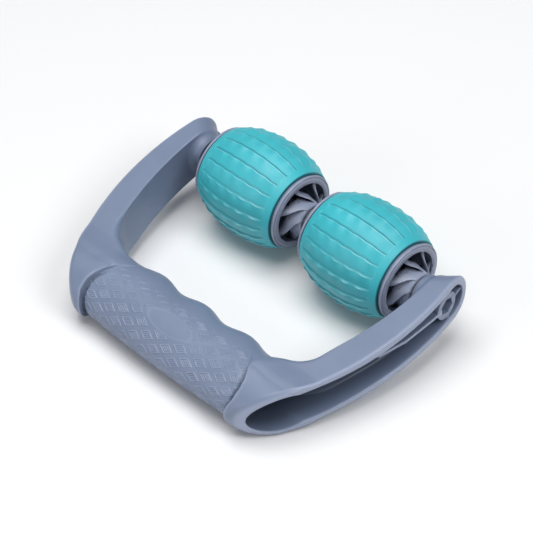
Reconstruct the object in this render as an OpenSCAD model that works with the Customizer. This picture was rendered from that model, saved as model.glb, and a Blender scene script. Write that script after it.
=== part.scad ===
// Hand-held foot massage roller: two ribbed rollers on one axle in a U-shaped handle.
// X runs along the axle, Z is up, and the object rests on its rollers and its grip.

/* [Rollers] */
// Radius of the sleeve over its ridges, at mid-length
sleeve_r = 24.8; // [22:0.1:28]
// Radius of the sleeve over its ridges, at its ends
sleeve_end_r = 19.2; // [18.8:0.1:20]
// Number of lengthwise ridges on a sleeve
ridge_count = 22; // [12:1:30]
// Height of a ridge
ridge_h = 0.9; // [0.4:0.1:1.4]
// Length of a roller from flange face to flange face
roller_l = 49.9; // [44:0.1:52]
// Gap between the facing flanges of the two rollers
roller_gap = 14.9; // [13:0.1:18]
// Radius of the end flanges
flange_r = 18.5; // [17.6:0.1:18.6]
// Thickness of the end flanges
flange_t = 1.2; // [1:0.1:2.4]

/* [Roller hubs] */
// Number of vanes in a hub
vane_count = 7; // [5:1:9]
// Thickness of a vane
vane_t = 1.5; // [1:0.1:2]
// Lean of the vanes, each about its own radius, falling clockwise as seen from outside
vane_lean = 38; // [20:1:45]
// Radius of a hub's nose
nose_r = 7.4; // [6.8:0.1:8]
// How far a nose stands out past the flange
nose_out = 6.6; // [5:0.1:6.8]
// Depth of a hub inside its roller
hub_depth = 11; // [9:0.5:16]

/* [Axle] */
// Radius of the spacer tube that the rollers turn on
tube_r = 4; // [3.6:0.1:4.4]
// Radius of the bolt's shank
bolt_r = 2; // [2:0.05:2.1]
// Width of the nut and the bolt head across their flats
nut_af = 7; // [6.9:0.05:7]
// Thickness of the thrust washers
washer_t = 0.8; // [0.5:0.1:0.9]
// Radial running clearance of a bush on the tube
running_gap = 0.05; // [0.02:0.01:0.1]

/* [Handle] */
// Width of the handle over its bowed arms
handle_w = 162.4; // [161.6:0.1:163]
// Height of the arms
arm_h = 23; // [22:0.5:24]
// Radius of the curve that the open side of each arm follows
arm_out_r = 140; // [138:1:144]
// Radius of the curve that the inner wall of each arm follows
arm_in_r = 159; // [157:1:161]
// Distance between the inner walls of the arms at the axle
arm_span = 140.8; // [140.4:0.1:141.2]
// Thickness of the walls
wall = 3; // [2.6:0.1:3.4]
// Height of the channel that opens along each arm
channel_h = 15.7; // [14.5:0.1:16.5]

/* [Grip] */
// Distance from the axle to the middle of the grip
grip_back = 84.3; // [83.5:0.1:85]
// Height of the collars at the ends of the grip
collar_h = 26.8; // [26:0.1:27.4]
// Depth of the collars, front to back
collar_d = 34.8; // [34.4:0.1:35.2]
// Height of the waist between the collars
waist_h = 25.4; // [24.8:0.1:26]
// Half the length of the waist
waist_x = 44; // [43.5:0.1:44.5]
// Distance from one finger groove to the next
groove_pitch = 26.7; // [26.2:0.1:27]
// Depth of the finger grooves
groove_d = 2.4; // [1:0.1:2.6]

/* [Hidden] */
$fn = 64;
arc_n = 14;
slop = 0.05;
sleeve_l = roller_l - 2 * flange_t - 0.1;
flange_in = roller_gap / 2;
roller_mid = flange_in + roller_l / 2;
core_out_r = 17.4;
core_in_r = 16;
cap_r = 17.3;
cap_t = 0.8;
boss_end = flange_in + roller_l + nose_out + washer_t + 0.5;
boss_end_r = 8.3;
bush_r = 5.2;
bush_l = 9;
bush_in = 1.2;
washer_r = 6.6;
head_t = 2.8;
nut_t = 3.6;
lock_ring_t = 1.3;
ring_r = 6.6;
rib_t = 1.5;
ring_inset = 1;
pocket_floor = 70;
clear_r = 2.25;
// Arm outlines in plan: x along the axle and y away from the grip, from the axle
out_c = [handle_w / 2 - arm_out_r, -18];
in_c = [arm_span / 2 - arm_in_r, -5.3];
tip_y = 15;
tip_c = 3.2;
inner_y = -68.4;
corner_r = 15;
corner_y = inner_y + corner_r;
corner_x = in_c[0] + sqrt(pow(arm_in_r - corner_r, 2) - pow(corner_y - in_c[1], 2));
corner_a = atan2(corner_y - in_c[1], corner_x - in_c[0]);
flare_a = -28.6;
flare_r = 60;
lip_a = -45;
flare_c = out_c + (arm_out_r - flare_r) * [cos(flare_a), sin(flare_a)];
front_y = -grip_back - collar_d / 2;
hollow_d = 26.8;
hollow_h = 20.6;
waist_d = 36.5;
waist_c = -83.4;
waist_bow_r = 745;
// The handle leans down to the surface from the axle, which is a roller's radius above it
function lean(n) = n == 0 ? 8 : let (a = lean(n - 1)) asin((sleeve_r
    - norm([collar_d / 2 * sin(a), collar_h / 2 * cos(a)])) / grip_back);
tilt = lean(6);
reach = grip_back * cos(tilt) + norm([collar_d / 2 * cos(tilt), collar_h / 2 * sin(tilt)]);
axle_y = (reach - sleeve_r) / 2;
plastic = [0.53, 0.59, 0.7];
teal = [0.2, 0.75, 0.8];

// Points of an arc, both ends included
function arc(c, r, a0, a1, n = arc_n) =
    [for (i = [0:n]) let (a = a0 + (a1 - a0) * i / n) c + r * [cos(a), sin(a)]];

// Points of an oval of depth d and height h
function oval(d, h, n = 40) =
    [for (i = [0:n - 1]) [d / 2 * cos(360 * i / n), h / 2 * sin(360 * i / n)]];

// Edge of the open side of an arm, from the tip to the collar's lip, moved in by inset
function open_edge(inset) = concat(
    arc(out_c, arm_out_r - inset, asin((tip_y - out_c[1]) / arm_out_r), flare_a),
    arc(flare_c, flare_r - inset, flare_a, lip_a, 6));

// Inner wall of an arm, from the grip to the tip, moved out by inset
function inner_edge(inset) = concat(
    arc([corner_x, corner_y], corner_r + inset, -90, corner_a, 8),
    arc(in_c, arm_in_r + inset, corner_a, asin((tip_y - in_c[1]) / arm_in_r)));

// From the handle's own frame, flat with its origin on the axle, to its resting place
module at_rest() {
    translate([0, axle_y, sleeve_r]) rotate([tilt, 0, 0]) children();
}

// Along the axle, for round parts drawn along Z
module on_axle(x) {
    translate([x, axle_y, sleeve_r]) rotate([0, 90, 0]) children();
}

// Extrudes a side outline, drawn as [y, z], across the whole width
module across(half_x) {
    rotate([90, 0, 90]) linear_extrude(2 * half_x, center = true) children();
}

// Extrudes a plan outline up and down
module upright(h) {
    linear_extrude(h, center = true) children();
}

module arm_solid() {
    intersection() {
        upright(40) polygon(concat(open_edge(0),
            arc([49.8, front_y + 4], 4, -40, -90, 5),
            [[waist_x, front_y], [waist_x, inner_y]],
            inner_edge(0)));
        across(100) union() {
            translate([tip_c, 0]) circle(arm_h / 2);
            translate([-grip_back, -arm_h / 2]) square([grip_back + tip_c, arm_h]);
            translate([-grip_back, 0]) polygon(oval(collar_d, collar_h));
        }
    }
}

// Channel along the open side of an arm, down into the mouth of the hollow grip
module arm_channel() {
    intersection() {
        upright(40) polygon(concat([[corner_x, -120]], inner_edge(wall), [[110, tip_y], [110, -120]]));
        across(120) union() {
            translate([tip_c, 0]) circle(channel_h / 2);
            translate([-grip_back, -channel_h / 2]) square([grip_back + tip_c, channel_h]);
            translate([-grip_back, 0]) polygon(oval(hollow_d, hollow_h));
        }
    }
}

// Grip between the collars: bowed palm side, and finger grooves on the side by the rollers
module waist_solid() {
    wave_x = 1.5 * groove_pitch;
    crest_y = waist_c + waist_d / 2;
    bow = [for (x = [-waist_x:4:waist_x])
        [x, front_y + 0.1 + waist_bow_r - sqrt(pow(waist_bow_r, 2) - x * x)]];
    waves = [for (i = [36:-1:-36]) let (x = wave_x * i / 36)
        [x, crest_y - groove_d * (1 - cos(360 * x / groove_pitch)) / 2]];
    intersection() {
        across(waist_x + 1) translate([waist_c, 0]) polygon(oval(waist_d, waist_h));
        upright(40) polygon(concat(bow, [[waist_x, inner_y]], waves, [[-waist_x, inner_y]]));
    }
}

// Round boss with a hexagonal pocket, and the four ribs that stay it, in an arm's channel
module boss_and_ribs() {
    floor_x = arm_span / 2 + 1;
    intersection() {
        upright(channel_h + 1) polygon(concat(open_edge(ring_inset), inner_edge(wall - 1)));
        union() {
            translate([floor_x, 0, 0]) rotate([0, 90, 0]) cylinder(r = ring_r, h = 20);
            for (s = [-1, 1]) {
                translate([floor_x, -rib_t / 2, s > 0 ? ring_r - 1 : -channel_h / 2 - 0.3])
                    cube([20, rib_t, channel_h / 2 - ring_r + 1.3]);
            }
            upright(rib_t) polygon([[58, -62], [58, 12], [81, 12], [81, 5], [79.4, -7],
                [76, -44], [64, -62]]);
        }
    }
}

module handle_half() {
    difference() {
        union() {
            difference() {
                arm_solid();
                arm_channel();
            }
            boss_and_ribs();
            translate([boss_end, 0, 0]) rotate([0, 90, 0])
                cylinder(r1 = boss_end_r, r2 = arm_h / 2 - 0.1, h = arm_span / 2 - boss_end);
            translate([arm_span / 2 - 0.1, 0, 0]) rotate([0, 90, 0]) cylinder(r = 9, h = 1);
        }
        translate([pocket_floor, 0, 0]) rotate([0, 90, 0])
            cylinder(r = (nut_af + 0.1) / sqrt(3), h = 20, $fn = 6);
        translate([boss_end - 1, 0, 0]) rotate([0, 90, 0]) cylinder(r = clear_r, h = 20);
    }
}

module handle_frame() {
    color(plastic) at_rest() difference() {
        union() {
            waist_solid();
            handle_half();
            mirror([1, 0, 0]) handle_half();
        }
        across(corner_x + 2) translate([-grip_back, 0]) polygon(oval(hollow_d, hollow_h));
    }
}

module axle_bolt() {
    color("silver") {
        on_axle(-pocket_floor - 1)
            cylinder(r = bolt_r, h = 2 * pocket_floor + nut_t + lock_ring_t + 2.2);
        on_axle(-pocket_floor - head_t) rotate([0, 0, tilt])
            cylinder(r = nut_af / sqrt(3), h = head_t, $fn = 6);
    }
}

module axle_nut() {
    color("silver") difference() {
        on_axle(pocket_floor) rotate([0, 0, tilt]) cylinder(r = nut_af / sqrt(3), h = nut_t, $fn = 6);
        on_axle(pocket_floor - 1) cylinder(r = bolt_r + slop, h = nut_t + 2);
    }
}

module nut_lock_ring() {
    color("white") difference() {
        on_axle(pocket_floor + nut_t) cylinder(r = nut_af / 2 - 0.3, h = lock_ring_t);
        on_axle(pocket_floor) cylinder(r = bolt_r + slop, h = 10);
    }
}

module axle_tube() {
    color("gainsboro") difference() {
        on_axle(-boss_end) cylinder(r = tube_r, h = 2 * boss_end);
        on_axle(-boss_end - 1) cylinder(r = clear_r, h = 2 * boss_end + 2);
    }
}

module thrust_washer(x) {
    color("dimgray") difference() {
        on_axle(x - washer_t / 2) cylinder(r = washer_r, h = washer_t);
        on_axle(x - 2) cylinder(r = tube_r + slop, h = 4);
    }
}

// Barrel outline from the bore to a crown of radius mid_r, falling to end_r at the ends
module barrel_outline(mid_r, end_r) {
    half = sleeve_l / 2;
    polygon(concat([[core_out_r + slop, -half], [core_out_r + slop, half]],
        [for (i = [7:-1:-7]) let (u = i / 7)
            [end_r + (mid_r - end_r) * (1 - pow(abs(u), 2.3)), u * half]]));
}

module roller_sleeve(side) {
    pitch = 360 / ridge_count;
    color(teal) on_axle(side * roller_mid) {
        rotate_extrude() barrel_outline(sleeve_r - ridge_h, sleeve_end_r - ridge_h);
        intersection() {
            rotate_extrude() barrel_outline(sleeve_r, sleeve_end_r);
            for (i = [0:ridge_count - 1]) {
                rotate([0, 0, i * pitch]) translate([core_out_r + 1, -1.9, -sleeve_l / 2 + 2.8])
                    cube([10, 3.8, sleeve_l - 5.6]);
            }
        }
    }
}

module roller_core(side) {
    color(plastic) on_axle(side * roller_mid) difference() {
        union() {
            cylinder(r = core_out_r, h = roller_l, center = true);
            for (s = [-1, 1]) {
                translate([0, 0, s * (roller_l - flange_t) / 2])
                    cylinder(r = flange_r, h = flange_t, center = true);
            }
        }
        cylinder(r = core_in_r, h = roller_l + 2, center = true);
    }
}

// Hub with its cap ring, vanes and nose, drawn with the flange's face at z = 0 and the nose up
module hub() {
    ring_in = 14.8;
    reach_out = nose_out - 1.4;
    difference() {
        union() {
            rotate_extrude() polygon([[ring_in, -hub_depth], [core_in_r - slop, -hub_depth],
                [core_in_r - slop, slop], [cap_r, slop], [cap_r - 0.5, cap_t], [ring_in + 0.5, cap_t],
                [ring_in, cap_t - 0.5]]);
            rotate_extrude() polygon([[bush_r + slop, -hub_depth], [nose_r + 0.8, -hub_depth],
                [nose_r, nose_out - 1], [nose_r - 0.9, nose_out], [tube_r + 0.6, nose_out],
                [tube_r + 0.6, nose_out - bush_in], [bush_r + slop, nose_out - bush_in]]);
            for (i = [0:vane_count - 1]) {
                rotate([0, 0, i * 360 / vane_count]) rotate([-vane_lean, 0, 0])
                    rotate([90, 0, 0]) linear_extrude(vane_t, center = true)
                    polygon([[nose_r - 0.9, -8], [ring_in + 0.3, -8], [ring_in + 0.3, -2],
                        [nose_r - 0.9, reach_out - 1.5]]);
            }
        }
        translate([0, 0, -hub_depth - 1]) cylinder(r = bush_r + slop, h = hub_depth + nose_out + 1 - bush_in);
        translate([0, 0, nose_out - 5]) cylinder(r = tube_r + 0.6, h = 10);
    }
}

// Turns a part drawn with its outside up to face out of either end of a roller
module at_flange(side, end) {
    out = side * roller_mid + end * roller_l / 2;
    translate([out, axle_y, sleeve_r]) rotate([0, end * 90, 0]) children();
}

module bush(side, end) {
    color("ivory") at_flange(side, end) difference() {
        translate([0, 0, nose_out - bush_in - bush_l - slop]) cylinder(r = bush_r, h = bush_l);
        translate([0, 0, -30]) cylinder(r = tube_r + running_gap, h = 60);
    }
}

module roller_hub(side, end) {
    color(plastic) at_flange(side, end) hub();
}

handle_frame();
axle_bolt();
axle_nut();
nut_lock_ring();
axle_tube();
thrust_washer(0.25 - boss_end + washer_t / 2);  // left_thrust_washer
thrust_washer(0);  // centre_thrust_washer
thrust_washer(boss_end - 0.25 - washer_t / 2);  // right_thrust_washer
roller_sleeve(-1);  // left_roller_sleeve
roller_core(-1);  // left_roller_core
roller_hub(-1, -1);  // left_outer_hub
roller_hub(-1, 1);  // left_inner_hub
bush(-1, -1);  // left_outer_bush
bush(-1, 1);  // left_inner_bush
roller_sleeve(1);  // right_roller_sleeve
roller_core(1);  // right_roller_core
roller_hub(1, 1);  // right_outer_hub
roller_hub(1, -1);  // right_inner_hub
bush(1, 1);  // right_outer_bush
bush(1, -1);  // right_inner_bush
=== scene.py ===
"""Looks of the two-roller hand massager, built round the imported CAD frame.

Shapes are worked out in millimetres and scaled to metres when their mesh is made. The handle and the
hubs are described as signed distances and meshed by dual contouring, the sleeves are laid out in rows
of points, and the other round parts are turned from profiles.
"""

import math

import bmesh
import bpy
import numpy as np
from mathutils import Matrix, Vector


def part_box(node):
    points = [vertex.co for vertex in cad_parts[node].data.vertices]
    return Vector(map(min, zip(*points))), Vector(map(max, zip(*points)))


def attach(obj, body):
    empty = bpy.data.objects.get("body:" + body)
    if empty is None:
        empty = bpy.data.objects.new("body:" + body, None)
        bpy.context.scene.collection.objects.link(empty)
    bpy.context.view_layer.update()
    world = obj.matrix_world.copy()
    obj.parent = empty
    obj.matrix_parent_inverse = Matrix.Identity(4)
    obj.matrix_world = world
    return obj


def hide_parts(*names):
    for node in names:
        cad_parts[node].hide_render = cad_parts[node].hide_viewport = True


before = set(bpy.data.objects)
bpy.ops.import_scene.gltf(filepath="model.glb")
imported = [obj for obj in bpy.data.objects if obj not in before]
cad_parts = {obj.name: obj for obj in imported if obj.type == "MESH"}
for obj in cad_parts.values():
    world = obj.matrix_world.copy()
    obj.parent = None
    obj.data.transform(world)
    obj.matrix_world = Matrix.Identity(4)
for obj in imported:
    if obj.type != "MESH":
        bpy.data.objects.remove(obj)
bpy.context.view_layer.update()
MM = 0.001

# ---------------------------------------------------------------- places, read from the frame
core_low, core_high = (np.array(v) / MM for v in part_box("right_roller_core"))
tube_low, tube_high = (np.array(v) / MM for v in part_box("axle_tube"))
AXLE_Y, AXLE_Z = (core_low[1] + core_high[1]) / 2, (core_low[2] + core_high[2]) / 2
ROLLER_L = core_high[0] - core_low[0]
ROLLER_MID = (core_low[0] + core_high[0]) / 2
FLANGE_R = (core_high[2] - core_low[2]) / 2
BOSS_END = tube_high[0]

# ---------------------------------------------------------------- sizes, in mm
# Most are the CAD's. The hand gap's corners, the waist, the sleeve's ends and the hub's vanes and nose
# follow the photo more closely than the CAD's do. The woven pad and the scallops are only here.
# a roller's core and sleeve
CORE_OUT_R, CORE_IN_R, FLANGE_T = 17.4, 16.0, 1.2
SLEEVE_R, SLEEVE_END_R, SLEEVE_BAND = 24.8, 19.6, 2.9
SLEEVE_L = ROLLER_L - 2 * FLANGE_T - 2.0
RIDGES, RIDGE_H, BAND_LEVEL = 22, 0.95, 0.42      # the band's height is in ridge heights
SCALLOP, WAVER, CREST = 7.2, 0.13, 0.87    # CREST says where in its pitch a ridge is highest
# its hubs and bushes
NOSE_R, NOSE_OUT, HUB_DEPTH, NOSE_TAPER = 7.4, 6.6, 11.0, 0.8
CAP_R, CAP_T, CAP_MID_R, CAP_HALF_W, HUB_IN_R = 17.3, 0.8, 16.0, 1.38, 14.8
HUB_WALL_R, HUB_WALL_T = 15.37, 1.14
VANES, VANE_T, VANE_FALL = 7, 1.9, 1.75
VANE_TURN, VANE_SWEEP = math.radians(-5), math.radians(46)
TUBE_R, BUSH_R, BUSH_L, BUSH_IN = 4.0, 5.2, 9.0, 1.2
# the handle, in its own frame: OUT_ is the arms' outer curve and IN_ the hand gap's, in plan
ARM_H, CHANNEL_H, WALL = 23.0, 15.7, 3.0
OUT_R, OUT_C = 140.0, (-58.8, -18.0)
IN_R, IN_C = 159.0, (-88.6, -5.3)
CORNER_R, INNER_Y = 17.0, -68.6
FLARE_R, FLARE_A = 60.0, math.radians(-28.6)
TIP_C, TIP_X, TIP_SLANT, ARM_IN = 3.2, 77, 0.8, 70.4
GRIP_Y, COLLAR_D, COLLAR_H = -84.3, 34.8, 26.8
WAIST_Y, WAIST_D, WAIST_H, WAIST_BOW_R = -82.9, 35.5, 25.2, 745.0
HOLLOW_D, HOLLOW_H = 26.8, 20.6
GROOVE_PITCH, GROOVE_D = 26.7, 2.4
RING_R, RIB_T, NUT_AF, POCKET_X, CLEAR_R = 6.6, 1.5, 7.0, 70.0, 2.25
RING_SUNK, RIB_SUNK, RIB_FAR_Y, RIB_NEAR_Y, CLEAR_X = 1.0, 1.2, -62, 12, 60
BOSS_R, BOSS_FLARE, BOSS_FILLET = 8.3, 0.04, 3.4
# the grip's woven pad: WEAVE_S, WEAVE_END and BADGE_S are measured round the grip from the palm
WEAVE_X, WEAVE_S, WEAVE_END = 6.0, 3.45, 30.5
PAD_SKIN, PAD_GROOVE_D, LIP_H, BACK_MEET = 1.4, 0.9, 0.45, 46
BORDER_H, THREAD_H, THREAD_PITCH = 0.3, 0.22, 0.15
BADGE, BADGE_S, BADGE_RIM_H, BADGE_RIM_W = (13.0, 4.8), 19.7, 0.09, 0.45
FULL_TONE_H = 0.75              # the pad's relief this high gets the full painted highlight
PLAY = 0.05                     # how far apart two pieces that touch are kept


def lean():
    """The handle's slope, in radians: its collars and the rollers stand on one surface."""
    a = math.radians(8)
    for _ in range(6):
        half = math.hypot(COLLAR_D / 2 * math.sin(a), COLLAR_H / 2 * math.cos(a))
        a = math.asin((SLEEVE_R - half) / -GRIP_Y)
    return a


TILT = lean()


def at_rest(points):
    """From the handle's own frame, with its origin on the axle, to the row frame. In mm."""
    x, y, z = points.T
    c, s = math.cos(TILT), math.sin(TILT)
    return np.stack([x, AXLE_Y + y * c - z * s, AXLE_Z + y * s + z * c], -1)


# ---------------------------------------------------------------- signed distances
def cut(a, b, r=0.0):
    """What is inside both a and b, with its edge rounded to radius r."""
    sharp = np.maximum(a, b)
    if np.ndim(r) == 0 and r <= 0:
        return sharp
    return np.minimum(sharp, -r) + np.hypot(np.maximum(a + r, 0), np.maximum(b + r, 0))


def join(a, b, r=0.0):
    """What is inside a or b, with a fillet of radius r where they meet."""
    return -cut(-a, -b, r)


def carve(a, b, r=0.0):
    """What is inside a and outside b, with its edge rounded to radius r."""
    return cut(a, -b, r)


def ease(t):
    """0 below 0, 1 above 1 and smooth between."""
    t = np.clip(t, 0, 1)
    return t * t * (3 - 2 * t)


def rise(value, start, end):
    """0 at start, 1 at end and beyond it, and smooth between. start may be above end."""
    return ease((value - start) / (end - start))


def plateau(value, half, soft):
    """1 where value is under half and 0 above it, with a slope soft wide."""
    return ease((half - value) / soft + 0.5)


def bell(value, width):
    """1 where value is 0, fading to 0 on both sides."""
    return np.exp(-((value / width) ** 2))


def oval(u, v, half_u, half_v):
    """About the distance to an oval, exact enough near its edge."""
    k = np.hypot(u / half_u, v / half_v)
    g = np.hypot(u / half_u**2, v / half_v**2)
    return k * (k - 1) / np.maximum(g, 1e-9)


def contour(field, axes):
    """Vertices and quads of the surface where field is 0, by dual contouring on a grid.

    Each cell that the surface crosses gets one vertex, where the tangent planes at its crossed
    edges meet, so crisp edges stay crisp."""
    grid = [axes[0][:, None, None], axes[1][None, :, None], axes[2][None, None, :]]
    value = field(*grid)
    inside = value < 0
    cells = np.array(value.shape) - 1
    points, normals, owners, loops = [], [], [], []
    for k in range(3):
        low = [slice(None)] * 3
        high = [slice(None)] * 3
        low[k], high[k] = slice(0, -1), slice(1, None)
        at = np.argwhere(inside[tuple(low)] != inside[tuple(high)])
        a, b = (k + 1) % 3, (k + 2) % 3
        at = at[(at[:, a] > 0) & (at[:, a] < cells[a]) & (at[:, b] > 0) & (at[:, b] < cells[b])]
        start = np.stack([axes[m][at[:, m]] for m in range(3)], -1)
        far = start.copy()
        far[:, k] = axes[k][at[:, k] + 1]
        v0, v1 = field(*start.T), field(*far.T)
        for _ in range(3):
            t = np.clip(v0 / (v0 - v1), 0.02, 0.98)[:, None]
            mid = start + (far - start) * t
            vm = field(*mid.T)
            same = (vm < 0) == (v0 < 0)
            start, v0 = np.where(same[:, None], mid, start), np.where(same, vm, v0)
            far, v1 = np.where(same[:, None], far, mid), np.where(same, v1, vm)
        t = (v0 / np.where(v0 == v1, 1, v0 - v1))[:, None]
        point = start + (far - start) * t
        points.append(point)
        normals.append(slope(field, point))
        around = []
        for da, db in ((0, 0), (-1, 0), (-1, -1), (0, -1)):
            cell = at.copy()
            cell[:, a] += da
            cell[:, b] += db
            around.append(np.ravel_multi_index(cell.T, cells))
        around = np.stack(around, -1)
        flip = ~inside[tuple(at.T)]
        owners.append(around)
        loops.append(np.where(flip[:, None], around[:, ::-1], around))
    points, normals = np.concatenate(points), np.concatenate(normals)
    owners, loops = np.concatenate(owners), np.concatenate(loops)
    used, slot = np.unique(owners, return_inverse=True)
    slot = slot.reshape(owners.shape)
    loops = np.searchsorted(used, loops)
    n = len(used)

    def total(per_edge):
        out = np.zeros(n)
        for c in range(4):
            out += np.bincount(slot[:, c], per_edge, n)
        return out

    count = total(np.ones(len(points)))
    mass = np.stack([total(points[:, m]) for m in range(3)], -1) / count[:, None]
    plane = np.einsum("ij,ij->i", normals, points)
    pull = 0.04
    lhs = np.empty((n, 3, 3))
    rhs = np.empty((n, 3))
    for i in range(3):
        for j in range(3):
            lhs[:, i, j] = total(normals[:, i] * normals[:, j]) + (pull * count if i == j else 0)
        rhs[:, i] = total(normals[:, i] * plane) + pull * count * mass[:, i]
    vertex = np.linalg.solve(lhs, rhs[..., None])[..., 0]
    cell = np.stack(np.unravel_index(used, cells), -1)
    lowest = np.stack([axes[m][cell[:, m]] for m in range(3)], -1)
    highest = np.stack([axes[m][cell[:, m] + 1] for m in range(3)], -1)
    return np.clip(vertex, lowest, highest), loops


def slope(field, points, step=0.02):
    """Unit gradient of field at points."""
    g = np.empty_like(points)
    for m in range(3):
        d = np.zeros(3)
        d[m] = step
        g[:, m] = field(*(points + d).T) - field(*(points - d).T)
    return g / np.maximum(np.linalg.norm(g, axis=1, keepdims=True), 1e-12)


def spread(*stops):
    """Grid positions from (position, spacing), (position, spacing) ... (end position,)."""
    parts = []
    for (start, gap), after in zip(stops, stops[1:]):
        n = max(1, round((after[0] - start) / gap))
        parts.append(np.linspace(start, after[0], n, endpoint=False))
    return np.concatenate([*parts, [stops[-1][0]]])


# ---------------------------------------------------------------- meshes
def settle(field, points, most=0.35):
    """Points moved along the slope on to the surface where field is 0, each by no more than most."""
    for _ in range(2):
        away = np.clip(field(*points.T), -most, most)
        points = points - slope(field, points) * away[:, None]
    return points


def corner_slopes(field, points, faces):
    """The surface's own normal at each corner of each face, read a little way in from the corner."""
    sizes = np.array([len(f) for f in faces])
    flat = np.concatenate([np.asarray(f) for f in faces])
    face_of = np.repeat(np.arange(len(sizes)), sizes)
    middle = np.stack([np.bincount(face_of, points[flat, m]) / sizes for m in range(3)], -1)
    return slope(field, points[flat] + (middle[face_of] - points[flat]) * 0.3)


def refined(points, faces, chosen):
    """The mesh with every edge between two chosen points cut in half. The faces become a list."""
    bm = bmesh.new()
    mesh = bpy.data.meshes.new("refining")
    mesh.from_pydata(points.tolist(), [], faces.tolist())
    bm.from_mesh(mesh)
    bpy.data.meshes.remove(mesh)
    edges = [e for e in bm.edges if chosen[e.verts[0].index] and chosen[e.verts[1].index]]
    bmesh.ops.subdivide_edges(bm, edges=edges, cuts=1, use_grid_fill=True)
    bm.verts.index_update()
    points = np.array([v.co[:] for v in bm.verts])
    faces = [[v.index for v in f.verts] for f in bm.faces]
    bm.free()
    return points, faces


def make_object(name, points, faces, material, sharp=None, normals=None, relief=None):
    """A smooth-shaded piece from points in mm. Edges that bend more than sharp degrees stay crisp.

    relief, one number for each point, is kept on the mesh for the material: 1 full painted highlight, -1
    full painted shade."""
    mesh = bpy.data.meshes.new(name)
    if isinstance(faces, np.ndarray):
        faces = faces.tolist()
    mesh.from_pydata((points * MM).tolist(), [], faces)
    mesh.shade_smooth()
    mesh.materials.append(material)
    if relief is not None:
        kept = mesh.attributes.new("relief", "FLOAT", "POINT")
        kept.data.foreach_set("value", relief.astype(np.float32))
    if normals is not None:
        mesh.normals_split_custom_set(normals.tolist())
    piece = bpy.data.objects.new(name, mesh)
    bpy.context.scene.collection.objects.link(piece)
    if sharp:
        bm = bmesh.new()
        bm.from_mesh(mesh)
        for e in bm.edges:
            e.smooth = len(e.link_faces) != 2 or e.calc_face_angle() < math.radians(sharp)
        bm.to_mesh(mesh)
        bm.free()
    return piece


def ring_faces(rows, around):
    """Quads of a grid of rows by around points that closes on itself both ways."""
    i, j = np.meshgrid(np.arange(rows), np.arange(around), indexing="ij")
    i2, j2 = (i + 1) % rows, (j + 1) % around
    return np.stack([i * around + j, i2 * around + j, i2 * around + j2, i * around + j2], -1).reshape(-1, 4)


def rounded(corners, steps=5):
    """A closed profile of (along, radius) points whose corners, (along, radius, fillet), are rounded."""
    out = []
    n = len(corners)
    for k, (u, r, fillet) in enumerate(corners):
        p = np.array([u, r], float)
        before = np.array(corners[k - 1][:2], float) - p
        after = np.array(corners[(k + 1) % n][:2], float) - p
        lb, la = np.linalg.norm(before), np.linalg.norm(after)
        before, after = before / lb, after / la
        half = math.acos(np.clip(before @ after, -1, 1)) / 2
        if fillet <= 0 or half > 1.55:
            out.append(p)
            continue
        back = min(fillet / math.tan(half), 0.48 * lb, 0.48 * la)
        radius = back * math.tan(half)
        centre = p + (before + after) / np.linalg.norm(before + after) * radius / math.sin(half)
        a0, a1 = p + before * back - centre, p + after * back - centre
        t0, t1 = math.atan2(a0[1], a0[0]), math.atan2(a1[1], a1[0])
        turn = (t1 - t0 + math.pi) % (2 * math.pi) - math.pi
        for s in range(steps + 1):
            t = t0 + turn * s / steps
            out.append(centre + radius * np.array([math.cos(t), math.sin(t)]))
    return np.array(out)


def turned(profile, around=128):
    """Points and faces of a profile of (along x, radius), in anticlockwise order, turned about X."""
    t = np.arange(around) / around * 2 * math.pi
    u, r = profile[:, :1], profile[:, 1:]
    points = np.stack([u + 0 * t, r * np.cos(t), r * np.sin(t)], -1)
    return points.reshape(-1, 3), ring_faces(len(profile), around)


def on_axle(points, x=0.0, way=1):
    """Moves points made about the X axis onto the axle. way -1 turns them end for end."""
    points = points * np.array([way, way, 1])
    return points + np.array([x, AXLE_Y, AXLE_Z])


# ---------------------------------------------------------------- materials
def colour(r, g, b):
    """Linear colour from 0 to 255 sRGB."""
    def one(c):
        c /= 255
        return c / 12.92 if c <= 0.04045 else ((c + 0.055) / 1.055) ** 2.4
    return (one(r), one(g), one(b), 1.0)


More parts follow.
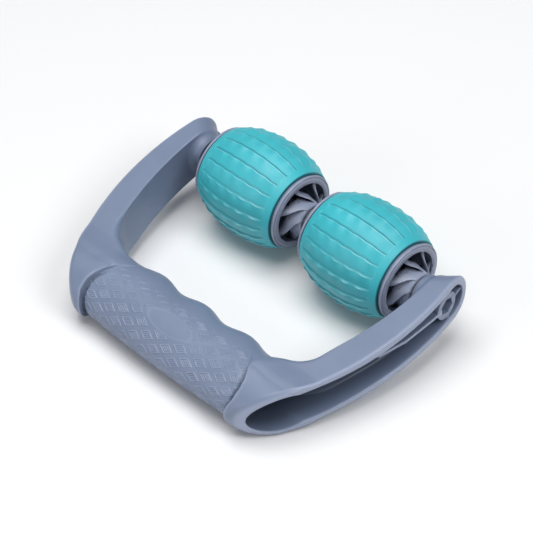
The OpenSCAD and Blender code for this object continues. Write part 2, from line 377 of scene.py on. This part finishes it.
class Nodes:
    """A material's node tree, written down with one call for each node."""

    def __init__(self, name):
        self.material = bpy.data.materials.new(name)
        self.material.use_nodes = True
        self.tree = self.material.node_tree
        self.shader = self.tree.nodes["Principled BSDF"]
        self.place = self.add("ShaderNodeTexCoord").outputs["Object"]

    def feed(self, socket, value):
        """Links a socket to another node's output, or gives it a constant."""
        if isinstance(value, bpy.types.NodeSocket):
            self.tree.links.new(value, socket)
        else:
            socket.default_value = value

    def add(self, kind, **values):
        """A node. A value called _2 goes to input 2, any other to the input of its name."""
        node = self.tree.nodes.new(kind)
        for key, value in values.items():
            if key in ("blend_type", "data_type", "attribute_name"):
                setattr(node, key, value)
            else:
                self.feed(node.inputs[int(key[1:]) if key[0] == "_" else key], value)
        return node

    def noise(self, scale, detail=3.0, rough=0.55, stretch=None):
        place = self.place
        if stretch:
            place = self.add("ShaderNodeMapping", Vector=place, Scale=stretch).outputs[0]
        return self.add("ShaderNodeTexNoise", Vector=place, Scale=scale, Detail=detail,
                        Roughness=rough).outputs["Fac"]

    def span(self, value, low, high, to_low, to_high):
        """The value with low to high stretched to to_low to to_high."""
        node = self.add("ShaderNodeMapRange", Value=value)
        for key, number in (("From Min", low), ("From Max", high), ("To Min", to_low), ("To Max", to_high)):
            node.inputs[key].default_value = number
        return node.outputs[0]

    def blend(self, how, amount, a, b):
        node = self.add("ShaderNodeMix", data_type="RGBA", blend_type=how)
        for k, value in ((0, amount), (6, a), (7, b)):
            self.feed(node.inputs[k], value)
        return node.outputs[2]

    def bump(self, height, strength, distance, normal=None):
        node = self.add("ShaderNodeBump", Height=height, Strength=strength, Distance=distance)
        if normal:
            self.tree.links.new(normal, node.inputs["Normal"])
        return node.outputs[0]

    def set(self, **values):
        """The finished material, with these values on its shader."""
        for key, value in values.items():
            self.feed(self.shader.inputs[key.replace("_", " ")], value)
        return self.material


def moulded(name, base, on_crests, rough, grain=1.0, relief=None, metallic=0.0):
    """A satin skin: slight flow streaks, a fine grain and a painted highlight of another colour on sharp
    edges.

    relief gives the colours of the painted highlight, where a mesh's relief attribute is positive, and of
    the painted shade, where it is negative, each with its strength as a fifth number."""
    m = Nodes(name)
    patches = m.noise(38, 2)
    streaks = m.noise(55, 3, 0.6, stretch=(0.25, 1, 1))
    darker = (*(c * 0.95 for c in base[:3]), 1)
    paler = (*(min(1, c * 1.05) for c in base[:3]), 1)
    shade = m.blend("MIX", m.span(patches, 0.35, 0.65, 0, 1), darker, paler)
    grey = m.add("ShaderNodeCombineColor", _0=streaks, _1=streaks, _2=streaks).outputs[0]
    shade = m.blend("OVERLAY", 0.05, shade, grey)
    # painted highlight: sharp convex edges, found by pointiness, are mixed towards the on_crests colour
    edge = m.span(m.add("ShaderNodeNewGeometry").outputs["Pointiness"], 0.52, 0.6, 0, 0.4)
    shade = m.blend("MIX", edge, shade, on_crests)
    # painted highlight mixed in where relief is above 0, painted shade where it is below
    if relief:
        level = m.add("ShaderNodeAttribute", attribute_name="relief").outputs["Fac"]
        for tone, top in zip(relief, (1, -1)):
            shade = m.blend("MIX", m.span(level, 0, top, 0, tone[4]), shade, tone[:4])
    skin = m.bump(m.noise(2600, 2, 0.5), 0.10 * grain, 0.00012)
    skin = m.bump(m.noise(240, 2), 0.06 * grain, 0.0006, skin)
    gloss = m.span(m.noise(120, 4), 0.3, 0.7, rough - 0.05, rough + 0.06)
    return m.set(Base_Color=shade, Roughness=gloss, Normal=skin, Metallic=metallic)


def tinted(red, green, blue, strength):
    """A colour with its strength, for moulded's painted highlight and painted shade."""
    return (*colour(red, green, blue), strength)


# a relief pair is a painted highlight colour and a painted shade colour
# each material's second colour is the painted highlight on its sharp edges
handle_plastic = moulded("handle_plastic_satin", colour(109, 122, 147), colour(156, 168, 190), 0.42,
                         relief=(tinted(158, 168, 192, 0.75), tinted(54, 63, 78, 0.75)))
hub_plastic = moulded("hub_plastic_satin", colour(132, 141, 163), colour(174, 182, 202), 0.34, 0.6,
                      relief=(tinted(174, 182, 202, 0.6), tinted(22, 25, 32, 0.9)))
sleeve_rubber = moulded("sleeve_rubber_teal", colour(56, 171, 183), colour(84, 186, 196), 0.46, 1.6,
                        relief=(tinted(160, 218, 226, 0.6), tinted(0, 78, 92, 0.85)))
bright_steel = moulded("bright_steel_zinc", colour(190, 192, 196), colour(225, 226, 228), 0.32,
                       metallic=1.0)
tube_steel = moulded("tube_steel_drawn", colour(170, 172, 176), colour(205, 206, 208), 0.38,
                     metallic=1.0)
white_nylon = moulded("white_nylon", colour(228, 230, 232), colour(240, 241, 242), 0.45)
bush_acetal = moulded("bush_acetal", colour(222, 219, 208), colour(236, 234, 226), 0.4)
washer_nylon = moulded("washer_nylon_dark", colour(62, 66, 74), colour(96, 100, 108), 0.45)


# ---------------------------------------------------------------- handle
def open_side(x, y):
    """Distance past the curved rim that closes an arm's open side, in plan."""
    angle = np.arctan2(y - OUT_C[1], x - OUT_C[0])
    flare_x = OUT_C[0] + (OUT_R - FLARE_R) * math.cos(FLARE_A)
    flare_y = OUT_C[1] + (OUT_R - FLARE_R) * math.sin(FLARE_A)
    arm = np.hypot(x - OUT_C[0], y - OUT_C[1]) - OUT_R
    flare = np.hypot(x - flare_x, y - flare_y) - FLARE_R
    return np.where(angle > FLARE_A, arm, flare)


CORNER_Y = INNER_Y + CORNER_R
CORNER_X = IN_C[0] + math.sqrt((IN_R - CORNER_R) ** 2 - (CORNER_Y - IN_C[1]) ** 2)
CORNER_A = math.atan2(CORNER_Y - IN_C[1], CORNER_X - IN_C[0])


def hand_gap(x, y):
    """Distance out of the space between the arms, in plan: negative in the space."""
    angle = np.arctan2(y - CORNER_Y, x - CORNER_X)
    in_corner = (angle < CORNER_A) & (angle > -math.pi / 2)
    corner = np.hypot(x - CORNER_X, y - CORNER_Y) - CORNER_R
    plain = np.maximum(np.hypot(x - IN_C[0], y - IN_C[1]) - IN_R, INNER_Y - y)
    return np.where(in_corner, corner, plain)


def pad_edge(y):
    """How far along the grip its textured pad reaches, which bulges at the front and tapers back."""
    stops = [-104, -101, -97, -92, -88, -84, -78, -72, -66]
    reach = [43.5, 45, 47, 47.2, 46.2, 44.2, 40.6, 36.4, 32]
    return np.interp(y, stops, reach)


def palm_side(y):
    """1 on the grip's palm side, 0 behind."""
    return rise(y, -80, -90)


def waist_oval(y, z):
    """Signed distance of the grip's plain oval bar."""
    return oval(y - WAIST_Y, z, WAIST_D / 2, WAIST_H / 2)


def waist_section(x, y, z):
    """The hand grip between its collars: an oval bar with a bowed palm side and finger grooves behind."""
    bow = WAIST_BOW_R - np.sqrt(WAIST_BOW_R**2 - np.minimum(x, 60) ** 2)
    wave = np.minimum(x, 1.5 * GROOVE_PITCH) / GROOVE_PITCH
    groove = GROOVE_D * (1 - np.cos(2 * math.pi * wave)) / 2
    shift = groove * rise(y, WAIST_Y, WAIST_Y + 16) - bow * rise(y, WAIST_Y + 6, WAIST_Y - 18)
    return waist_oval(y + shift, z)


def handle_outside(x, y, z):
    """Signed distance of the handle's outside, with x folded to one side."""
    # the bar with its round tip, widened by the collar and cut out for the hand
    tip = TIP_C - TIP_SLANT * np.maximum(0, TIP_X - np.maximum(x, ARM_IN - WALL))
    bar = np.maximum(np.hypot(np.maximum(y - tip, 0), z) - ARM_H / 2, GRIP_Y - y)
    collar = oval(y - GRIP_Y, z, COLLAR_D / 2, COLLAR_H / 2)
    collar_fillet = 0.05 + 4 * rise(y, -86, -77)
    gap_edge = 0.6 + 2.4 * rise(y, -50, -66)
    ends = cut(join(bar, collar, collar_fillet), -hand_gap(x, y), gap_edge)
    # from the collars to the waist: a step round the palm, and a gradual change behind
    back = rise(y, -82, -72)
    meet = pad_edge(y) * (1 - back) + BACK_MEET * back
    share = ease((meet - x) / (0.9 + 11 * back) + 0.5)
    body = ends + (waist_section(x, y, z) - ends) * share
    # the collar's lip, the rim of the open side, and the groove round the pad
    past = x - pad_edge(y)
    lip = ease(past / 0.9 + 0.5) * (1 - rise(past, 3, 12))
    lip = lip * rise(y, -87, -82) * (1 - rise(y, -75, -69))
    rim_edge = 1.3 + 1.2 * rise(y, -74, -84)
    body = cut(body - LIP_H * lip, open_side(x, y), rim_edge)
    body = body + PAD_GROOVE_D * bell(past + 1.1, 0.9) * palm_side(y)
    # the boss on the inner wall, flaring into it
    boss = np.hypot(y, z) - BOSS_R - BOSS_FLARE * (x - BOSS_END)
    boss = cut(boss, np.maximum(BOSS_END - x, x - ARM_IN - 2), 0.6)
    return join(body, boss, BOSS_FILLET)


def channel(x, y, z):
    """Signed distance of the channel along an arm's open side, which runs into the grip's hollow."""
    half = CHANNEL_H / 2 + 1.1 * rise(y, -45, -75)
    slot = cut(np.hypot(np.maximum(y - TIP_C, 0), z) - half, WALL - hand_gap(x, y), 1.2)
    slot = np.maximum(slot, np.maximum(GRIP_Y - y, CORNER_X - x))
    return np.minimum(slot, oval(y - GRIP_Y, z, HOLLOW_D / 2, HOLLOW_H / 2) + 0 * x)


def rib_edge(y):
    """How far out the long level rib reaches, past the boss and towards the grip."""
    stops = [-62, -44, -38, -25, -7, 5, 12]
    reach = [56, 66, 74.6, 78.2, 79.6, 81, 81]
    return np.interp(y, stops, reach)


def handle_field(x, y, z):
    """Signed distance of the handle in its own frame, without the pad's relief."""
    x = np.abs(x)
    rim = open_side(x, y)
    radial = np.hypot(y, z)
    body = carve(handle_outside(x, y, z), channel(x, y, z), 0.6)
    # the ring round the pocket, and four ribs
    ring = cut(radial - RING_R, np.maximum(rim + RING_SUNK, POCKET_X - 1 - x), 0.35)
    spokes = np.maximum(np.abs(z) - CHANNEL_H / 2 - 0.5, RING_R - 1 - np.abs(z))
    upright = np.maximum(np.abs(y) - RIB_T / 2, spokes)
    rib_ends = np.maximum(x - rib_edge(y), np.maximum(RIB_FAR_Y - y, y - RIB_NEAR_Y))
    level = np.maximum(np.abs(z) - RIB_T / 2, rib_ends)
    depth = np.maximum(rim + RIB_SUNK, WALL - hand_gap(x, y) - 1)
    ribs = cut(np.minimum(upright, level), depth, 0.3)
    body = join(body, join(ring, ribs, 0.4), 0.4)
    # the hexagonal pocket, and the bolt's hole
    pocket = np.maximum(np.abs(y), np.abs(y) / 2 + np.abs(z) * math.sqrt(3) / 2) - NUT_AF / 2 - PLAY
    body = carve(body, np.maximum(pocket, POCKET_X - x), 0.25)
    return carve(body, np.maximum(radial - CLEAR_R, CLEAR_X - x), 0.2)


def along_oval(y, z):
    """Distance round the grip's oval from its palm side, the same above and below."""
    turn = np.arctan2(np.abs(z) / (WAIST_H / 2), (WAIST_Y - y) / (WAIST_D / 2))
    t = np.linspace(0, math.pi, 90)
    speed = np.hypot(WAIST_D / 2 * np.sin(t), WAIST_H / 2 * np.cos(t))
    length = np.concatenate([[0], np.cumsum((speed[1:] + speed[:-1]) / 2 * np.diff(t))])
    return np.interp(turn, t, length)


def grip_relief(x, y, z):
    """How far the pad's woven pattern and its plain oval badge stand out of the grip, in mm.

    The pattern is a net of diamonds. Each has a raised border, and threads that run one way in it
    and the other way in its neighbours."""
    s = along_oval(y, z)
    a, b = (x / WEAVE_X + s / WEAVE_S) / 2, (x / WEAVE_X - s / WEAVE_S) / 2
    crossed = (np.round(a) + np.round(b)) % 2
    a, b = a - np.round(a), b - np.round(b)
    far = np.maximum(np.abs(a), np.abs(b))
    border = plateau(far, 0.33, 0.06) * (1 - plateau(far, 0.25, 0.06))
    threads = 0.5 + 0.5 * np.cos(2 * math.pi * np.where(crossed > 0.5, a, b) / THREAD_PITCH)
    weave = BORDER_H * border + THREAD_H * threads * plateau(far, 0.21, 0.06)
    badge = np.hypot(x / BADGE[0], (s - BADGE_S) / BADGE[1])
    badge_rim = BADGE_RIM_H * bell((badge - 1) * BADGE[1], BADGE_RIM_W)
    reach = ease((pad_edge(y) - x) / 1.2) * rise(s, WEAVE_END, WEAVE_END - 3)
    return (weave * rise(badge, 1.06, 1.12) + badge_rim) * reach


def handle_surface(x, y, z):
    """Signed distance of the finished handle: the plain one and the pad's relief on its outside."""
    outside = plateau(-waist_oval(y, z), PAD_SKIN, 0.5)
    return handle_field(x, y, z) - grip_relief(np.abs(x), y, z) * outside


def near_pad(x, y, z):
    """Whether points are on the pad, or within 1 mm of it, and not in the grip's hollow."""
    along = (np.abs(x) < pad_edge(y) + 1) & (along_oval(y, z) < WEAVE_END + 1)
    return along & (waist_oval(y, z) > -PAD_SKIN)


def handle_painted_light(x, y, z):
    """Painted light on the handle, from full painted highlight at 1 to full painted shade at -1."""
    x = np.abs(x)
    # painted highlight on the pad's raised pattern and the badge's rim, as strong as they stand out
    raised = (handle_field(x, y, z) - handle_surface(x, y, z)) / FULL_TONE_H
    past = x - pad_edge(y)
    # painted shade in the groove round the pad
    groove = bell(past + 1.0, 0.8) * palm_side(y)
    # painted highlight along the collar's lip
    collar = 0.5 * bell(past - 0.7, 0.6) * palm_side(y)
    rim = open_side(x, y)
    # painted highlight along the rim of the open side
    edge = bell(rim, 0.9)
    # painted highlight on the level rib's free edge, which is kept out of the channel's painted shade
    rib = plateau(np.abs(z), RIB_T / 2 + 0.2, 0.4) * plateau(np.abs(x - rib_edge(y)), 0.5, 0.4)
    rib = rib * rise(y, -44, -40)
    # painted shade inside the channel and the grip's hollow, darker deeper in
    inside = 0.85 * (1 - rib) * plateau(channel(x, y, z), 0.5, 0.3) * rise(-rim, 1.5, 8.5)
    # painted shade on the boss and the arm's inner wall round it
    boss = 0.45 * plateau(np.hypot(y, z), 10.5, 4) * rise(x, ARM_IN - 2, ARM_IN - 6)
    return np.clip(raised + collar + edge + 0.8 * rib - groove - inside - boss, -1, 1)


def build_handle():
    """The handle's points and faces, on a grid that is fine at the arms' tips and on the pad."""
    fine, coarse = 0.5, 0.8
    axes = [
        spread((-84, fine), (-63, coarse), (63, fine), (84,)),
        spread((-104, 0.6), (-66, coarse), (-11, fine), (17,)),
        spread((-14.4, 0.65), (14.4,)),
    ]
    points, faces = contour(handle_field, axes)
    points, faces = refined(points, faces, near_pad(*points.T))
    return settle(handle_surface, points), faces


points, faces = build_handle()
normals = corner_slopes(handle_surface, points, faces)
handle = make_object("handle_moulding", at_rest(points), faces, handle_plastic,
                     normals=at_rest(normals) - at_rest(normals * 0),
                     relief=handle_painted_light(*points.T))
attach(handle, "handle")
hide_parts("handle_frame")


# ---------------------------------------------------------------- rollers
def ridge_steps():
    """Places in a ridge's pitch, and at each the ridge's height, its painted highlight at the crest and its
    painted shade on the steep wall.
    """
    rise = np.concatenate([np.linspace(0, 0.78, 8), [0.825, 0.85, CREST, 0.89]])
    step = np.concatenate([rise, [0.92, 0.95, 0.975]])
    climb = np.minimum(step / CREST, 1) ** 1.25
    drop = 0.5 + 0.5 * np.cos((step - CREST) / (1 - CREST) * math.pi)
    height = np.where(step <= CREST, climb, drop)
    # painted highlight on the crest
    crest_highlight = np.where(np.abs(step - CREST) < 0.03, 1.0, 0.0)
    # painted shade on the steep wall and at the foot of the ridge
    deep = np.where((step > CREST + 0.03) | (step < 0.01), 0.55, 0.0)
    return step, height, crest_highlight, deep


def sleeve_points(along=120):
    """The ribbed rubber sleeve about X: saw-tooth ridges that waver a little along the barrel.

    Its rows of points follow the ridges, so their crests are unbroken lines. Gives the points, the faces
    and each point's painted light: a painted highlight on the crests, painted shade on the steep walls and
    end faces."""
    half = SLEEVE_L / 2
    u = np.linspace(-1, 1, along)
    x = half * np.sign(u) * (1 - (1 - np.abs(u)) ** 1.15)
    barrel = SLEEVE_END_R + (SLEEVE_R - SLEEVE_END_R) * (1 - np.abs(x / half) ** 2.3)
    step, *profile = ridge_steps()
    tooth, crest_highlight, deep = (np.tile(v, RIDGES) for v in profile)
    phase = (np.arange(RIDGES)[:, None] + step[None, :]).reshape(-1)
    wave = 2 * math.pi * (x - 1.2) / SCALLOP
    shift = WAVER * np.sin(wave + 1.0) / (2 * math.pi * barrel) * RIDGES
    angle = (phase[None, :] - shift[:, None]) / RIDGES * 2 * math.pi
    scallop = 0.66 + 0.34 * np.cos(wave)
    fade = ease((half - SLEEVE_BAND - np.abs(x)) / 0.7)
    on_crests = 1 - (1 - scallop)[:, None] * tooth      # the scallops are deepest at the crest
    height = RIDGE_H * (tooth * on_crests * fade[:, None] + BAND_LEVEL * (1 - fade)[:, None])
    radius = barrel[:, None] - RIDGE_H + height
    # painted highlight strength: stronger where the scallops are shallow, and on the barrel's +X half,
    # which faces the light
    shine = (0.35 + 0.65 * scallop) * (0.3 + 0.7 * ease(0.3 + x / half))
    # painted highlight on the crests less painted shade on the walls, faded out on the end bands
    tone = (crest_highlight * shine[:, None] - deep) * fade[:, None]
    # each end has one more row, down at the core, and its outer edge is bevelled
    order = [0, *range(along), along - 1]
    x, radius, angle, tone = x[order], radius[order], angle[order], tone[order]
    radius[[0, -1]] = CORE_OUT_R + PLAY
    radius[[1, -2]] -= 0.3
    # painted shade on the end faces
    tone[[0, 1, -2, -1]] = -1
    pts = np.stack([x[:, None] + 0 * angle, -radius * np.cos(angle), radius * np.sin(angle)], -1)
    return pts.reshape(-1, 3), ring_faces(*angle.shape), tone.reshape(-1)


def core_profile():
    """The core's section: a tube with a flange at each end, recessed for the hub's cap."""
    h, f, seat, lip, edge = ROLLER_L / 2, FLANGE_T, 0.4, CAP_R + 0.12, FLANGE_R - 0.3
    return rounded([
        (seat - h, CORE_IN_R, 0.2), (h - seat, CORE_IN_R, 0.2), (h - seat, lip, 0.05), (h, lip, 0.1),
        (h, edge, 0.5), (h - f, edge, 0.3), (h - f, CORE_OUT_R, 0), (f - h, CORE_OUT_R, 0),
        (f - h, edge, 0.3), (-h, edge, 0.5), (-h, lip, 0.1), (seat - h, lip, 0.05),
    ])


def vane_field(x, y, z, r):
    """Signed distance of a hub's vanes. Each slopes down from a crest that curves towards the nose."""
    inward = np.clip((HUB_IN_R - r) / (HUB_IN_R - NOSE_R), 0, 1)     # 0 at the wall, 1 at the nose
    before_crest = 0.7 + 1.5 * rise(r, 9.5, 14.5)
    after_crest = 1.1 + 4.2 * inward**4
    turn = np.arctan2(y, z) - VANE_TURN - VANE_SWEEP * inward**3.3   # clockwise, seen from outside
    pitch = 2 * math.pi / VANES
    crest = -1.1 + 6.4 * inward**1.25
    vanes = None
    for k in (-1, 0, 1):
        arc = (turn % pitch + k * pitch) * np.clip(r, 7, 16)
        past = np.maximum(arc, 0)
        top = crest - VANE_FALL * past + 0.06 * past**2
        vane = (np.abs(x - top + VANE_T / 2) - VANE_T / 2) * 0.68    # eased, as its faces slope
        vane = cut(vane, np.maximum(-before_crest - arc, arc - after_crest), 0.4)
        vanes = vane if vanes is None else np.minimum(vanes, vane)
    return vanes


def hub_field(x, y, z):
    """Signed distance of a hub about X, with its flange face at x = 0 and its nose towards +X."""
    r = np.hypot(y, z)
    deep = -HUB_DEPTH - x
    wall = cut(np.abs(r - HUB_WALL_R) - HUB_WALL_T / 2, np.maximum(deep, x - 0.3), 0)
    bead = np.maximum(oval(r - CAP_MID_R, x + 0.3, CAP_HALF_W, CAP_T), -0.35 - x)
    cone = NOSE_R - NOSE_TAPER * rise(x, 3.2, -0.2)
    nose = cut(r - cone, np.maximum(deep, x - NOSE_OUT), 1.1)
    vanes = cut(vane_field(x, y, z, r), np.maximum(np.maximum(r - 15.3, 5.8 - r), deep), 0)
    body = join(join(nose, vanes, 1.8), np.minimum(wall, bead), 0.7)
    bore = np.where(x < NOSE_OUT - BUSH_IN, r - BUSH_R - PLAY, r - TUBE_R - 0.6)
    return carve(body, bore, 0.15)


def build_hub():
    """A hub's points and faces."""
    side = spread((-17.8, 0.42), (17.8,))
    points, faces = contour(hub_field, [spread((-11.6, 0.45), (7.2,)), side, side])
    return settle(hub_field, points, 0.2), faces


def hub_painted_shade(x, y, z):
    """Painted shade on a hub, down to -1: the deeper points lie between its vanes, the darker they are
    painted.
    """
    return -rise(x, 1.6, -2.6) * rise(np.hypot(y, z), 14.9, 14.4)


def bush_profile():
    """A plain bush's section, with its edges rounded."""
    bore, edge = TUBE_R + PLAY, 0.3
    return rounded([(0, bore, edge), (BUSH_L, bore, edge), (BUSH_L, BUSH_R, edge), (0, BUSH_R, edge)])


sleeve_p, sleeve_f, sleeve_painted_light = sleeve_points()
core_p, core_f = turned(core_profile(), 160)
hub_p, hub_f = build_hub()
hub_n = corner_slopes(hub_field, hub_p, hub_f)
bush_p, bush_f = turned(bush_profile(), 64)
bush_start = NOSE_OUT - BUSH_IN - BUSH_L - PLAY
for side, way in (("left", -1), ("right", 1)):
    body = side + "_roller"
    middle = way * ROLLER_MID
    sleeve = make_object(side + "_sleeve", on_axle(sleeve_p, middle), sleeve_f, sleeve_rubber,
                         sharp=60, relief=sleeve_painted_light)
    core = make_object(side + "_core", on_axle(core_p, middle), core_f, hub_plastic, sharp=40)
    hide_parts(side + "_roller_sleeve")
    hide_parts(side + "_roller_core")
    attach(sleeve, body)
    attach(core, body)
    for end, facing in (("outer", way), ("inner", -way)):
        face = middle + facing * ROLLER_L / 2
        hub = make_object(f"{side}_{end}_turbine", on_axle(hub_p, face, facing), hub_f, hub_plastic,
                          normals=hub_n * [facing, facing, 1], relief=hub_painted_shade(*hub_p.T))
        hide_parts(f"{side}_{end}_hub")
        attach(hub, body)
        bush = make_object(f"{side}_{end}_bearing", on_axle(bush_p + [bush_start, 0, 0], face, facing),
                           bush_f, bush_acetal, sharp=40)
        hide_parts(f"{side}_{end}_bush")
        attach(bush, body)

# ---------------------------------------------------------------- the CAD's own parts that stay
for node, material in (
    ("axle_bolt", bright_steel), ("axle_nut", bright_steel), ("nut_lock_ring", white_nylon),
    ("axle_tube", tube_steel), ("left_thrust_washer", washer_nylon),
    ("centre_thrust_washer", washer_nylon), ("right_thrust_washer", washer_nylon),
):
    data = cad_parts[node].data
    data.materials.clear()
    data.materials.append(material)

# ---------------------------------------------------------------- stage
FLOOR = 3.0       # half its width, in metres
floor_mesh = bpy.data.meshes.new("floor")
floor_corners = [(-FLOOR, -FLOOR, 0), (FLOOR, -FLOOR, 0), (FLOOR, FLOOR, 0), (-FLOOR, FLOOR, 0)]
floor_mesh.from_pydata(floor_corners, [], [(0, 1, 2, 3)])
floor = bpy.data.objects.new("floor", floor_mesh)
floor.location.z = -0.0002      # just under the part, so that no two faces share a plane
bpy.context.scene.collection.objects.link(floor)
paper = Nodes("floor_paper")
floor_mesh.materials.append(paper.set(Base_Color=(0.78, 0.78, 0.785, 1), Roughness=0.9))

world = bpy.data.worlds.new("studio")
world.use_nodes = True
sky = world.node_tree.nodes["Background"]
sky.inputs["Color"].default_value = (0.95, 0.97, 1.0, 1)
sky.inputs["Strength"].default_value = 0.2
bpy.context.scene.world = world
bpy.context.scene.view_settings.view_transform = "Standard"


def softbox(name, place, size, power):
    """A square light that points at the part. In metres and watts."""
    light = bpy.data.lights.new(name, "AREA")
    light.shape = "SQUARE"
    light.size = size
    light.energy = power
    lamp = bpy.data.objects.new(name, light)
    lamp.location = place
    lamp.rotation_euler = (Vector((0, 0, 0.02)) - Vector(place)).to_track_quat("-Z", "Y").to_euler()
    bpy.context.scene.collection.objects.link(lamp)


softbox("edge_softbox", (0.8, 0.1, 0.9), 0.5, 5.5)
softbox("front_softbox", (-0.3, -1.2, 0.55), 0.8, 4.5)
softbox("top_softbox", (-0.12, -0.06, 1.3), 1.0, 15.5)

# the photo's camera: where it stands in metres, and its azimuth, elevation and roll in degrees
CAMERA_AT = (0.4830, -0.4378, 0.6575)
AZIMUTH, ELEVATION, ROLL = -42.709, 44.229, -3.248
camera_data = bpy.data.cameras.new("camera")
camera_data.lens, camera_data.sensor_width = 140.8, 36
camera = bpy.data.objects.new("camera", camera_data)
view = Matrix.Translation(CAMERA_AT)
for degrees, axis in ((AZIMUTH + 90, "Z"), (90 - ELEVATION, "X"), (ROLL, "Z")):
    view = view @ Matrix.Rotation(math.radians(degrees), 4, axis)
camera.matrix_world = view
bpy.context.scene.collection.objects.link(camera)
bpy.context.scene.camera = camera
